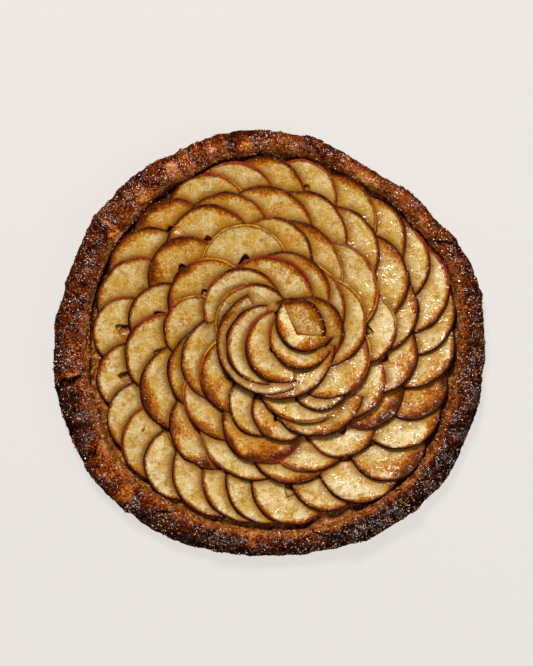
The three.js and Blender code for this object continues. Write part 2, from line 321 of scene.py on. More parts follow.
# ---- Sugar ----
SUGAR_TRIES = 21000
SUGAR_START = 20  # rows of the rim, from the ground outside, that stay free of it
SUGAR_END = 10  # and from the floor inside
SUGAR_LOWEST = 3
SUGAR_COVER = 0.05
SUGAR_PATCHES = 0.8  # how much the cover changes from place to place
SUGAR_SCATTER = 0.25
UPWARD_SCATTER = 0.2  # share of it that is left in height
SLICE_CRYSTALS = 24  # tries on a slice
BROWN_CRYSTALS = 30  # and on each end of it, if that is fully browned
SUGAR_AREA = (0.1, 0.98)  # they lie between these shares of a slice's area
SUGAR_TURN = 1.5  # radians on each side of where it faces
SUGAR_CLEARANCE = 0.8  # from a slice that lies on top
SUGAR_LIFT = 0.05
CRUST_CRYSTAL = (0.7, 0.4, 1.3)  # usual, smallest and largest size
APPLE_CRYSTAL = (0.5, 0.3, 0.95)
CRYSTAL_SPREAD = 0.3
CRYSTAL_SIDES = (0.55, 1.0)  # as shares of its size
CORNER_REACH = (0.75, 1.1)  # how far out its corners are
APPLE_DARKEST = 0.6  # tint of the darkest crystal on the apples; the pale ones are sugar's white and partly painted glints

TINY = 0.001  # keeps divisors from 0, and places inside a grid


# ---- Noise ----

def lattice(i, j, k, seed):
    """Random values from -1 to 1 at whole-number places, the same at every run."""
    mixed = i * 374761393 + j * 668265263 + k * 1440662683 + seed * 974634777
    mixed = (mixed ^ (mixed >> 13)) * 1274126177
    return ((mixed ^ (mixed >> 16)) & 0xFFFF) / 32767.5 - 1


def noise(x, y, z, size, seed):
    """Smooth noise from -1 to 1 with lumps of a size, at arrays of places."""
    places = [np.asarray(v, float) / size for v in (x, y, z)]
    corners = [np.floor(v).astype(np.int64) for v in places]
    inside = [v - c for v, c in zip(places, corners)]
    blend = [t * t * (3 - 2 * t) for t in inside]
    total = 0
    for step in np.ndindex(2, 2, 2):
        weight = 1
        for side, t in zip(step, blend):
            weight = weight * (t if side else 1 - t)
        total = total + weight * lattice(*[c + side for c, side in zip(corners, step)], seed)
    return total


def fractal(x, y, z, size, octaves, seed):
    """Noise with finer and finer lumps added."""
    total = 0
    for octave in range(octaves):
        total = total + noise(x, y, z, size / 2 ** octave, seed + octave) / 2 ** octave
    return total


def smoothstep(low, high, value):
    """A smooth step from 0 at low to 1 at high."""
    t = np.clip((value - low) / (high - low), 0, 1)
    return t * t * (3 - 2 * t)


# ---- Laying the slices, as in the solids ----

class Slice:
    """A half-moon of apple: its place, its plane and its look."""

    def __init__(self, name, ring, azimuth, x, y, radius, facing, uphill, lean, look, cut=None):
        self.name = name
        self.ring = ring
        self.azimuth = azimuth
        self.x = x
        self.y = y
        self.radius = radius
        self.facing = math.radians(facing)
        self.uphill = math.radians(uphill)
        self.slope = math.tan(math.radians(lean))
        self.browns = (int(look[0]) / BROWNEST, int(look[2]) / BROWNEST)
        self.skins = (SKIN_HUES[look[1]], SKIN_HUES[look[3]])
        self.cut = cut
        self.height = None
        self.above = []
        self.below = []
        self.bent = None
        self.seed = SEED + 31 * round(azimuth) + 7 * round(10 * x) + 3 * round(10 * y)

    def local(self, x, y):
        """Places in the slice's own plane: forward to the round edge, and across."""
        dx, dy = x - self.x, y - self.y
        c, s = math.cos(self.facing), math.sin(self.facing)
        return dx * c + dy * s, dy * c - dx * s

    def plan(self, forward, across):
        """Places seen from above, from places in the slice's own plane."""
        c, s = math.cos(self.facing), math.sin(self.facing)
        return self.x + forward * c - across * s, self.y + forward * s + across * c

    def outside(self, x, y):
        """Distance outside the half-moon, negative inside."""
        forward, across = self.local(x, y)
        return np.maximum(np.hypot(forward, across) - self.radius, -CUT_BACK - forward)

    def cut_edge(self, across):
        """How far forward the cut lies, with the core's hollow or a deeper cut."""
        if self.cut is None:
            side = np.clip(np.abs(across) / (CORE_WIDTH / 2), 0, 1)
            return -CUT_BACK + CORE_DEPTH * (1 - side ** CORE_ROUND)
        side = np.clip(np.abs(across) / self.radius, 0, 1)
        return -CUT_BACK + (self.cut + CUT_BACK) * (1 - side ** CUT_ROUND)

    def beside(self, x, y):
        """Distance outside what is left of the half-moon after its cut, negative inside."""
        forward, across = self.local(x, y)
        return np.maximum(np.hypot(forward, across) - self.radius, self.cut_edge(across) - forward)

    def rise(self, x, y):
        forward = (x - self.x) * math.cos(self.uphill) + (y - self.y) * math.sin(self.uphill)
        return self.slope * forward


def ring_slices(number):
    name, centre, run, places = RINGS[number]
    slices = []
    for index, (azimuth, reach, radius, look, *cut) in enumerate(places):
        turn = math.radians(azimuth)
        x = centre[0] + (reach - radius) * math.cos(turn)
        y = centre[1] + (reach - radius) * math.sin(turn)
        slices.append(Slice(f"{name}_{index // run + 1}", number, azimuth, x, y, radius,
                            azimuth - SWEEP, azimuth - RING_UPHILL, RING_LEAN, look, *cut))
    return slices


def spiral_slices():
    """The petals, each as a ring of its own above the others."""
    slices = []
    for index, (x, y, radius, facing, lean, look, *cut) in enumerate(SPIRAL):
        slices.append(Slice(f"petal_{index + 1}", len(RINGS) + index, facing, x, y, radius,
                            facing, facing, lean, look, *cut))
    return slices


def lies_under(lower, upper):
    if lower is upper:
        return False
    if lower.ring != upper.ring:
        return lower.ring < upper.ring
    return 0 < (upper.azimuth - lower.azimuth) % 360 < 180


def lay(slice_, every):
    """Rests the part of a slice's round edge that shows, on average, on what is under it."""
    turn = slice_.facing + np.linspace(-math.pi / 2, math.pi / 2, EDGE_SAMPLES + 1)
    x = slice_.x + slice_.radius * np.cos(turn)
    y = slice_.y + slice_.radius * np.sin(turn)
    shown = np.ones(len(x), bool)
    for upper in slice_.above:
        shown &= upper.outside(x, y) > 0
    x, y = x[shown], y[shown]
    ground = np.full(len(x), FLOOR)
    for lower in every:
        if lower.height is not None and lies_under(lower, slice_):
            top = lower.height + lower.rise(x, y) + THICKNESS
            ground = np.where(lower.outside(x, y) <= 0, np.maximum(ground, top), ground)
    slice_.height = max((ground + GAP - slice_.rise(x, y)).mean(), FLOOR + GAP)


def lay_all():
    rings = [ring_slices(number) for number in range(len(RINGS))]
    petals = spiral_slices()
    every = [s for ring in rings for s in ring] + petals
    for slice_ in every:
        slice_.above = [other for other in every if lies_under(slice_, other)]
    for ring in rings:
        for _ in range(LAYING_ROUNDS):
            for slice_ in ring:
                lay(slice_, every)
    for petal in petals:
        lay(petal, every)
    return every


# ---- Draping the slices over each other ----

def own_top(slice_, x, y):
    """Height of a slice's top where nothing lifts it."""
    forward, across = slice_.local(x, y)
    rim = slice_.radius - np.hypot(forward, across)
    turn = np.arctan2(across, forward)
    seed = slice_.seed
    waves = sum(height * noise(x, y, seed, length, seed) for height, length in WAVES)
    lift = 0.5 + 0.5 * noise(4 * turn, 0, seed, 2.5, seed)
    curl = np.clip(1 - rim / CURL_WIDTH, 0, 1) ** 2
    plane = slice_.height + THICKNESS + slice_.rise(x, y)
    return plane + waves + CURL_HEIGHT * lift * curl


def soft_max(a, b):
    """The larger of two heights, rounded where they meet."""
    near = np.clip(1 - np.abs(a - b) / BEND_ROUND, 0, 1)
    return np.maximum(a, b) + near ** 2 * BEND_ROUND / 4


def grid_sample(slice_, forward, across):
    """Height of a slice's bent top at places in its own plane."""
    steps = len(slice_.bent) - 1
    shares = [(v + slice_.radius) / (2 * slice_.radius) for v in (forward, across)]
    f, a = np.clip(np.multiply(shares, steps), 0, steps - TINY)
    i, j = f.astype(int), a.astype(int)
    f, a = f - i, a - j
    low = slice_.bent[i, j] * (1 - f) + slice_.bent[i + 1, j] * f
    high = slice_.bent[i, j + 1] * (1 - f) + slice_.bent[i + 1, j + 1] * f
    return low * (1 - a) + high * a


def rest_on(slice_, x, y):
    """Height above which everything on a slice stays, at and around the slice."""
    forward, across = slice_.local(x, y)
    reach = np.maximum(np.hypot(forward, across), TINY)
    inside = np.minimum(1, slice_.radius / reach)
    nearest_f = np.maximum(forward * inside, -CUT_BACK)
    on_cut = np.clip(across, -slice_.radius, slice_.radius)
    nearest_a = np.where(forward < -CUT_BACK, on_cut, across * inside)
    away = np.hypot(forward - nearest_f, across - nearest_a)
    if slice_.bent is None:
        top = own_top(slice_, *slice_.plan(nearest_f, nearest_a))
    else:
        top = grid_sample(slice_, nearest_f, nearest_a)
    return top + LAYER - BEND_CURVE * away ** 2


def top_of(slice_, x, y):
    """Height of a slice's top, draped over those it lies on; a deep cut sinks onto them."""
    support = np.full(np.shape(x), FLOOR + LAYER)
    for other in slice_.below:
        support = soft_max(support, rest_on(other, x, y))
    top = own_top(slice_, x, y)
    if slice_.cut:
        forward, across = slice_.local(x, y)
        from_cut = np.maximum(forward - slice_.cut_edge(across), 0)
        top = np.minimum(top, support + SAG_GAP + SAG_SLOPE * from_cut)
    return soft_max(top, support)


def touches(a, b):
    return math.hypot(a.x - b.x, a.y - b.y) < a.radius + b.radius + BEND_REACH


def drape_all(every):
    """Drapes the slices in turn; more than once, because each ring's first lies on its last."""
    for slice_ in every:
        slice_.above = [other for other in slice_.above if touches(slice_, other)]
        slice_.below = [other for other in every if lies_under(other, slice_) and touches(slice_, other)]
    for _ in range(DRAPING_ROUNDS):
        for slice_ in every:
            steps = math.ceil(2 * slice_.radius / BEND_STEP)
            line = np.linspace(-slice_.radius, slice_.radius, steps + 1)
            forward, across = np.meshgrid(line, line, indexing="ij")
            slice_.bent = top_of(slice_, *slice_.plan(forward, across))


# ---- Meshes ----

def add_object(name, data):
    added = bpy.data.objects.new(name, data)
    bpy.context.scene.collection.objects.link(added)
    return added


def make_piece(name, vertices, faces, attributes, material, node, smooth=True):
    """A mesh piece from millimetres, standing for a CAD node if it has one."""
    mesh = bpy.data.meshes.new(name)
    mesh.from_pydata((vertices * MM).tolist(), [], faces)
    for key, values in attributes.items():
        attribute = mesh.attributes.new(key, "FLOAT", "POINT")
        attribute.data.foreach_set("value", np.asarray(values, np.float32))
    mesh.polygons.foreach_set("use_smooth", [smooth] * len(mesh.polygons))
    mesh.materials.append(material)
    mesh.update()
    piece = add_object(name, mesh)
    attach(piece, "root")
    if node:
        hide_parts(node)


def grid_faces(rows, columns, start=0):
    """Quads between rows of vertices that go round, so that the last column joins the first."""
    faces = []
    for row in range(rows - 1):
        a = start + row * columns
        b = a + columns
        for column in range(columns):
            after = (column + 1) % columns
            faces.append((a + column, a + after, b + after, b + column))
    return faces


def slice_outline(slice_):
    """Outline of a half-moon in its own plane, with the core's hollow in the cut."""
    half = math.acos(-CUT_BACK / slice_.radius)
    turn = np.linspace(-half, half, ARC_POINTS)
    wobble = noise(slice_.radius * turn, 0, slice_.seed, WOBBLE_LENGTH, slice_.seed + 3)
    reach = slice_.radius + OUTLINE_WOBBLE * wobble * np.cos(turn)
    arc = np.stack([reach * np.cos(turn), reach * np.sin(turn)], 1)
    end = slice_.radius * math.sin(half)
    across = end * np.linspace(1, -1, CUT_POINTS + 2)[1:-1]
    return np.concatenate([arc, np.stack([slice_.cut_edge(across), across], 1)])


def slice_rings(slice_):
    """Places in a slice's own plane, in rings from its outline to its middle, first on its top
    and then on its underside; and how far they are from the outline and from its round part."""
    outline = slice_outline(slice_)
    middle = np.array([[(DEEP_CUT_MIDDLE if slice_.cut else MIDDLE) * slice_.radius, 0]])
    is_arc = np.arange(OUTLINE_POINTS) < ARC_POINTS
    flat, edge, arc = [], [], []
    for shares in (SLICE_RINGS, UNDER_RINGS):
        for share in shares:
            ring = outline + (middle - outline) * share
            away = np.hypot(*(outline - ring).T)
            flat.append(ring)
            edge.append(away)
            arc.append(np.where(is_arc, away, FAR))
        flat.append(middle)
        edge.append([FAR])
        arc.append([FAR])
    return np.concatenate(flat), np.concatenate(edge), np.concatenate(arc)


def slice_faces():
    """Faces of a slice's top, edge and underside, over those places."""
    count = OUTLINE_POINTS
    pairs = [(i, (i + 1) % count) for i in range(count)]
    centre = len(SLICE_RINGS) * count
    low = centre + 1
    bottom = low + len(UNDER_RINGS) * count
    faces = grid_faces(len(SLICE_RINGS), count)
    faces += [(centre - count + i, centre - count + after, centre) for i, after in pairs]
    faces += [(after, i, low + i, low + after) for i, after in pairs]
    faces += [face[::-1] for face in grid_faces(len(UNDER_RINGS), count, low)]
    faces += [(bottom - count + after, bottom - count + i, bottom) for i, after in pairs]
    return faces


def slice_mesh(slice_):
    """Vertices, faces and attributes of one slice."""
    flat, edge, arc = slice_rings(slice_)
    rim = slice_.radius - np.hypot(flat[:, 0], flat[:, 1])
    rim = np.where(arc < WAVY_REACH, np.minimum(rim, arc), rim)
    x, y = slice_.plan(flat[:, 0], flat[:, 1])
    near = np.clip(1 - edge / EDGE_ROUNDING, 0, 1)
    drop = THICKNESS / 2 * (1 - np.sqrt(np.clip(1 - near ** 2, 0, 1)))
    top = top_of(slice_, x, y)
    under = np.arange(len(flat)) > len(SLICE_RINGS) * OUTLINE_POINTS
    z = np.where(under, top - THICKNESS + drop, top - drop)
    z = np.maximum(z, np.where(under, LOWEST, LOWEST + LEAST_THICKNESS))
    return np.stack([x, y, z], 1), slice_faces(), slice_looks(slice_, flat, rim, edge, x, y)


def golden_tone_and_shade(slice_):
    """How golden and how darkened a slice's flesh is, from about -1 to 1: a random part, and on the rings a
    golden tint with painted shade toward azimuth 125.
    """
    chance = TONE_CHANCE * math.sin(slice_.seed)
    if slice_.ring >= len(RINGS):
        return chance + PETAL_TONE
    return chance + GOLDEN_MIDDLE + GOLDEN_RANGE * math.cos(math.radians(slice_.azimuth - GOLDEN_SHADED_SIDE))


def shade_and_juice_beside(slice_, x, y):
    """How near each place of a slice is to one that lies on it, from 0 to 1: where painted shade and dark
    juice go.
    """
    shade_and_juice = np.zeros(len(x))
    for other in slice_.above:
        beside = other.beside(x, y)
        near = np.exp(-np.maximum(beside, 0) / SHADE_JUICE_FADE)
        hollow = (beside > 0) & (other.outside(x, y) < 0)
        shade_and_juice = np.maximum(shade_and_juice, np.where(hollow, HOLLOW_SHADE_JUICE * near, near))
    return shade_and_juice


def slice_looks(slice_, flat, rim, edge, x, y):
    """Attributes that the apple's material reads.

    Brown are a band along the round edge, patches, the cut, and all of a slice with brown ends.
    """
    seed = slice_.seed
    turn = np.arctan2(flat[:, 1], flat[:, 0])
    along = noise(slice_.radius * turn, 0, seed, 16, seed + 5)
    share = smoothstep(*LOOK_TURNS, turn + 0.3 * along)
    level = slice_.browns[0] * (1 - share) + slice_.browns[1] * share
    blotch = fractal(x, y, seed, 9, 2, seed + 7)
    width = (BAND_WIDTH + BROWN_WIDTH * level ** 1.4) * (1 + 0.5 * along + 0.45 * blotch)
    band = np.clip(1 - rim / width, 0, 1) * (BAND_BROWN + 0.5 * level)
    patches = smoothstep(0.1, 0.8, fractal(x, y, seed, 15, 2, seed + 9))
    patches = patches * np.clip(0.9 * level - 0.15, 0, 1)
    whole = np.clip(2 * min(slice_.browns) - 1.1, 0, 1) * (0.6 + 0.3 * blotch)
    cut_line = np.clip(1 - (edge / CUT_LINE) ** 2, 0, 1) * (rim > 2.0)
    cut = cut_line * (DEEP_CUT_BROWN if slice_.cut else CUT_BROWN)
    return {
        "rim": rim,
        "around": FIBRE_PLACE * slice_.radius * turn,
        "brown": np.clip(band + 0.5 * patches + cut + whole, 0, 1),
        "skin": slice_.skins[0] * (1 - share) + slice_.skins[1] * share,
        "tone_and_shade": np.full(len(rim), golden_tone_and_shade(slice_)),
        "shade_and_juice": shade_and_juice_beside(slice_, x, y),
    }


def join(parts):
    """One set of vertices, faces and attributes from several."""
    vertices, faces, looks, start = [], [], {}, 0
    for points, quads, values in parts:
        vertices.append(points)
        faces += [tuple(start + i for i in face) for face in quads]
        for key, value in values.items():
            looks.setdefault(key, []).append(value)
        start += len(points)
    return np.concatenate(vertices), faces, {k: np.concatenate(v) for k, v in looks.items()}


# ---- Crust ----

def around_circle(values, azimuth):
    """Values given at even steps round the galette, blended at azimuths."""
    place = (azimuth % 360) / (360 / len(values))
    index = np.floor(place).astype(int)
    blend = (1 - np.cos(math.pi * (place - index))) / 2
    values = np.asarray(values, float)
    start, end = values[index % len(values)], values[(index + 1) % len(values)]
    return start + (end - start) * blend


def fold_relief(azimuth, across):
    """Height of the folds and swells, and how close the seam under a fold's free edge is."""
    height = SWELL_HEIGHT * np.sin(np.radians(RIM_SWELLS * azimuth))
    seam = 0
    for middle, turn, rise, side in FOLDS:
        wander = FOLD_WANDER * noise(14 * across, middle, 0, 5, 70)
        past = side * ((azimuth - middle - turn * across / 2 - wander + 180) % 360 - 180)
        fade = np.where(past > 0, np.exp(-past / FOLD_EDGE), np.exp(past / FOLD_FADE))
        height = height + FOLD_BOOST * rise * fade
        low_side = np.exp(-np.abs(past - SEAM_PLACE) / SEAM_WIDTH)
        seam = np.maximum(seam, np.minimum(1, rise / 4) * low_side)
    return height, seam


def billow(x, y, z, size, seed):
    """Round lumps with creases between them, about 0 on average."""
    return 2 * np.abs(noise(x, y, z, size, seed)) - 0.7


def rim_roughness(spin, radius, z, across, upward):
    """How far the crust's surface stands out, and the parts of that which its looks read."""
    x, y = radius * np.cos(spin), radius * np.sin(spin)
    lumps = fractal(x, y, z, LUMP_SIZE, 2, 40)
    crags = fractal(x, y, z, CRAG_SIZE, 2, 50)
    along = WRINKLE_RADIUS * spin
    wrinkles = fractal(along, radius / WRINKLE_STRETCH, z / WRINKLE_STRETCH, WRINKLE_SIZE, 2, 64)
    grains = sum(rise * billow(x, y, z, size, 60 + i) for i, (size, rise) in enumerate(BLISTERS))
    leaves = np.abs((z / LEAF_THICKNESS + LEAF_WANDER * noise(x, y, z, 14, 66)) % 1 - 0.5) * 2
    wall = smoothstep(0.1, 0.7, across) * smoothstep(0.95, 0.4, np.abs(upward))
    rough = 0.5 + 0.5 * smoothstep(-0.9, 0.2, across)
    push = LUMP_PUSH * lumps + CRAG_PUSH * crags + WRINKLE_PUSH * wrinkles
    push = push + rough * grains + LEAF_PUSH * wall * (leaves - 0.5)
    return push, {"grains": grains, "crags": crags, "wrinkles": wrinkles}


def rim_grid():
    """Vertices over the rolled rim, from its foot outside to the floor inside, and their looks."""
    crown = RIM_HEIGHT - ROLL_CENTRE
    foot = -math.asin(ROLL_CENTRE / crown)
    floor_turn = math.pi + math.asin((ROLL_CENTRE - FLOOR) / crown)
    turns = np.linspace(foot, floor_turn, CRUST_SECTION + 1)
    turn, azimuth = np.meshgrid(turns, CRUST_AZIMUTHS, indexing="ij")
    outer, inner = around_circle(OUTER_RADII, azimuth), around_circle(INNER_RADII, azimuth)
    across, upward = np.cos(turn), np.sin(turn)
    above = np.maximum(0, upward)
    relief, seam = fold_relief(azimuth, across)
    fold = relief * above
    radius = (outer + inner) / 2 + (outer - inner) / 2 * across + FOLD_SPREAD * fold * np.maximum(0, across)
    z = ROLL_CENTRE + crown * upward + fold
    spin = np.radians(azimuth)
    push, looks = rim_roughness(spin, radius, z, across, upward)
    steady = smoothstep(0, 1.5, z) * smoothstep(floor_turn, floor_turn - 0.35, turn)
    push = push * steady - SEAM_DEPTH * seam * above
    radius = radius + push * across
    z = z + push * np.maximum(upward, -0.3)
    looks["across"] = across
    looks["seam"] = seam * above
    return np.stack([radius * np.cos(spin), radius * np.sin(spin), z], 2), looks


def crust_rows():
    """Rows of vertices from the underside over the rim to the floor, and their looks."""
    rim, looks = rim_grid()
    spin = np.radians(CRUST_AZIMUTHS)
    inner = around_circle(INNER_RADII, CRUST_AZIMUTHS)
    below, floor = [], []
    for share in CRUST_FLATS:
        x, y = inner * share * np.cos(spin), inner * share * np.sin(spin)
        juice = FLOOR + JUICE_DEPTH * smoothstep(*JUICE_SHARES, share)
        below.append(np.stack([x, y, np.zeros(CRUST_AROUND)], 1))
        floor.append(np.stack([x, y, np.full(CRUST_AROUND, juice)], 1))
    filler = np.zeros((len(CRUST_FLATS), CRUST_AROUND))
    looks = {key: np.concatenate([filler, value, filler]) for key, value in looks.items()}
    return np.concatenate([below, rim, floor[::-1]]), looks


def spots(places, azimuth, across, crags):
    """How much each place of the rim lies in one of the spots, from 0 to 1."""
    most = 0
    for place, side, width, reach in places:
        off = np.hypot(((azimuth - place + 180) % 360 - 180) / width, (across - side) / reach)
        most = np.maximum(most, smoothstep(1.3, 0.5, off + 0.3 * crags))
    return most


def crust_bake_and_shade(azimuth, across, crags):
    """How dark the rim is at each place of it, from 0 to 1: its baking, and painted shade on the outer wall
    from 260 to 320 degrees.
    """
    outside, crest, inside = (
        around_circle(values, azimuth) / 10 for values in (BAKE_AND_SHADE_OUTSIDE, BAKE_CREST, BAKE_INSIDE)
    )
    wander = np.clip(across + 0.35 * crags, -1, 1)
    toward = np.where(wander > 0, outside, inside)
    return crest + (toward - crest) * smoothstep(0.1, 0.9, np.abs(wander))


def crust_attributes(rows, looks):
    """Attributes that the crust's material reads, and at the end those of the two middles."""
    x, y, z = np.moveaxis(rows, 2, 0)
    row = np.arange(len(rows))[:, None] * np.ones((1, CRUST_AROUND))
    is_floor = row >= len(rows) - len(CRUST_FLATS)
    azimuth = np.degrees(np.arctan2(y, x))
    across = np.where(is_floor, -1, looks["across"])
    crags = looks["crags"]
    bare = spots(BARE_PLACES, azimuth, across, crags)
    glaze = spots(GLAZED_PLACES, azimuth, across, crags)
    raised = np.clip(0.4 * crags + 0.9 * looks["grains"] + 0.35 * looks["wrinkles"], -1, 1)
    causes = {
        "everywhere": 1,
        "blotches": fractal(x, y, z, 22, 3, 80),
        "raised": raised,
        "foot": smoothstep(*FOOT, z) * smoothstep(0.1, 0.7, across),
        "bare": bare,
        "seam_shade_and_juice": looks["seam"],
    }
    bake_and_shade = crust_bake_and_shade(azimuth, across, crags)
    for cause, amount in causes.items():
        bake_and_shade = bake_and_shade + BAKE_SHIFTS[cause] * amount
    inside, under = smoothstep(-0.5, -0.95, across), row < len(CRUST_FLATS)
    values = {"bake_and_shade": bake_and_shade, "inside": inside, "under": under, "bare": bare, "glaze": glaze}
    for key, ends in CRUST_ENDS.items():
        values[key] = np.append(np.where(is_floor, ends[1], values[key]), ends)
    return values


def build_crust(rows, attributes, material):
    """The pastry case, with a middle vertex under it and one on its floor."""
    vertices = np.concatenate([rows.reshape(-1, 3), [[0, 0, 0], [0, 0, FLOOR + JUICE_DEPTH]]])
    faces = grid_faces(len(rows), CRUST_AROUND)
    low = len(rows) * CRUST_AROUND
    last = low - CRUST_AROUND
    for i in range(CRUST_AROUND):
        after = (i + 1) % CRUST_AROUND
        faces.append((after, i, low))
        faces.append((last + i, last + after, low + 1))
    make_piece("crust_look", vertices, faces, attributes, material, "crust")


# ---- Sugar ----

CRYSTAL_CORNERS = 2.0 * np.array(list(np.ndindex(2, 2, 2))) - 1
CRYSTAL_FACES = [(0, 1, 3, 2), (4, 6, 7, 5), (0, 4, 5, 1), (2, 3, 7, 6), (0, 2, 6, 4), (1, 5, 7, 3)]


def random_turns(count, rng):
    """Random rotation matrices."""
    q = rng.normal(size=(count, 4))
    w, x, y, z = (q / np.linalg.norm(q, axis=1)[:, None]).T
    return np.array([
        [1 - 2 * (y * y + z * z), 2 * (x * y - z * w), 2 * (x * z + y * w)],
        [2 * (x * y + z * w), 1 - 2 * (x * x + z * z), 2 * (y * z - x * w)],
        [2 * (x * z - y * w), 2 * (y * z + x * w), 1 - 2 * (x * x + y * y)],
    ]).transpose(2, 0, 1)


def build_crystals(name, places, crystal, darkest, rng, material):
    """Sugar crystals as small uneven blocks, each with its own tint."""
    count = len(places)
    usual, smallest, largest = crystal
    sizes = np.clip(rng.lognormal(math.log(usual), CRYSTAL_SPREAD, count), smallest, largest)
    shape = rng.uniform(*CRYSTAL_SIDES, (count, 1, 3)) * sizes[:, None, None] / 2
    corners = CRYSTAL_CORNERS[None] * shape * rng.uniform(*CORNER_REACH, (count, 8, 1))
    turned = np.einsum("nij,nkj->nki", random_turns(count, rng), corners)
    vertices = (turned + places[:, None, :]).reshape(-1, 3)
    faces = [tuple(8 * n + i for i in face) for n in range(count) for face in CRYSTAL_FACES]
    tints = {"tint": np.repeat(rng.uniform(darkest, 1, count), 8)}
    make_piece(name, vertices, faces, tints, material, None, smooth=False)


def crust_sugar(rows, attributes, material):
    rng = np.random.default_rng(SEED)
    flats = len(CRUST_FLATS)
    row = rng.integers(flats + SUGAR_START, len(rows) - flats - SUGAR_END, SUGAR_TRIES)
    column = rng.integers(0, CRUST_AROUND, SUGAR_TRIES)
    places = rows[row, column]
    places = places + rng.normal(0, SUGAR_SCATTER, (SUGAR_TRIES, 3)) * [1, 1, UPWARD_SCATTER]
    patch = SUGAR_PATCHES * fractal(*places.T, 20, 2, 90)
    vertex = row * CRUST_AROUND + column
    sugarless = np.maximum(attributes["bare"], GLAZE_SUGARLESS * attributes["glaze"])[vertex]
    keep = rng.uniform(-1.0, 1.0, SUGAR_TRIES) < SUGAR_COVER + patch - 2 * sugarless
    keep &= places[:, 2] > SUGAR_LOWEST
    build_crystals("crust_sugar", places[keep], CRUST_CRYSTAL, 0.0, rng, material)


def apple_sugar(every, material):
    rng = np.random.default_rng(SEED + 1)
    found = []
    for slice_ in every:
        count = int(SLICE_CRYSTALS + BROWN_CRYSTALS * sum(slice_.browns))
        reach = slice_.radius * np.sqrt(rng.uniform(*SUGAR_AREA, count))
        turn = slice_.facing + rng.uniform(-SUGAR_TURN, SUGAR_TURN, count)
        x, y = slice_.x + reach * np.cos(turn), slice_.y + reach * np.sin(turn)
        shown = np.ones(count, bool)
        for upper in slice_.above:
            shown &= upper.beside(x, y) > SUGAR_CLEARANCE
        x, y = x[shown], y[shown]
        if len(x):
            found.append(np.stack([x, y, top_of(slice_, x, y) + SUGAR_LIFT], 1))
    places = np.concatenate(found)
    build_crystals("apple_sugar", places, APPLE_CRYSTAL, APPLE_DARKEST, rng, material)


# ---- Materials ----

class Nodes:
    """Builds a material's nodes."""

    def __init__(self, name):
        self.material = bpy.data.materials.new(name)
        self.material.use_nodes = True
        self.tree = self.material.node_tree
        self.tree.nodes.clear()
        self.shader = self.add("ShaderNodeBsdfPrincipled")
        self.add("ShaderNodeOutputMaterial", {"Surface": self.shader.outputs["BSDF"]})

    def fill(self, node, values):
        """Gives a node's inputs constants or other nodes' outputs."""
        for key, value in values.items():
            if isinstance(value, bpy.types.NodeSocket):
                self.tree.links.new(value, node.inputs[key])
            else:
                node.inputs[key].default_value = value

    def add(self, kind, values=None, **settings):
        node = self.tree.nodes.new(kind)
        for key, setting in settings.items():
            setattr(node, key, setting)
        self.fill(node, values or {})
        return node

    def attribute(self, name):
        return self.add("ShaderNodeAttribute", attribute_name=name).outputs["Fac"]

    def math(self, operation, a, b, clamp=False):
        node = self.add("ShaderNodeMath", {0: a, 1: b}, operation=operation, use_clamp=clamp)
        return node.outputs[0]

    def plus(self, a, b):
        return self.math("ADD", a, b)

    def times(self, a, b):
        return self.math("MULTIPLY", a, b)

    def larger(self, a, b):
        return self.math("MAXIMUM", a, b)

    def spread(self, value, low, high, start=0.0, end=1.0):
        """A value that goes from start to end while another goes from low to high."""
        values = dict(enumerate((value, low, high, start, end)))
        return self.add("ShaderNodeMapRange", values, interpolation_type="SMOOTHSTEP").outputs[0]

    def mix(self, share, a, b):
        return self.add("ShaderNodeMix", {0: share, 6: a, 7: b}, data_type="RGBA").outputs[2]

    def over(self, base, value, low, high, tint, most=1.0):
        """A colour with more of another over it the further a value is from low to high."""
        return self.mix(self.spread(value, low, high, 0.0, most), base, tint)

    def ramp(self, value, *stops):
        """Colours at stops, each a place from 0 to 1 and then red, green and blue."""
        node = self.add("ShaderNodeValToRGB", {0: value})
        elements = node.color_ramp.elements
        while len(elements) < len(stops):
            elements.new(0.5)
        for element, (place, *tint) in zip(elements, stops):
            element.position = place
            element.color = colour(*tint)
        return node.outputs[0]

    def noise(self, size, detail, where=None, roughness=0.55):
        """Noise from 0 to 1 with lumps of a size in millimetres."""
        where = where or self.add("ShaderNodeTexCoord").outputs["Object"]
        values = {"Vector": where, "Scale": 1 / (size * MM), "Detail": detail, "Roughness": roughness}
        return self.add("ShaderNodeTexNoise", values).outputs["Fac"]

    def around_zero(self, noise, amount):
        """Noise that goes up and down from 0, by an amount."""
        return self.times(self.math("SUBTRACT", noise, 0.5), amount)

    def bump(self, height, strength, distance):
        values = {"Height": height, "Strength": strength, "Distance": distance * MM}
        bumps = self.add("ShaderNodeBump", values)
        self.fill(self.shader, {"Normal": bumps.outputs["Normal"]})


def colour(red, green, blue):
    """A colour from its everyday 0 to 255 values."""
    def linear(value):
        value /= 255
        return value / 12.92 if value <= 0.04045 else ((value + 0.055) / 1.055) ** 2.4
    return (linear(red), linear(green), linear(blue), 1.0)


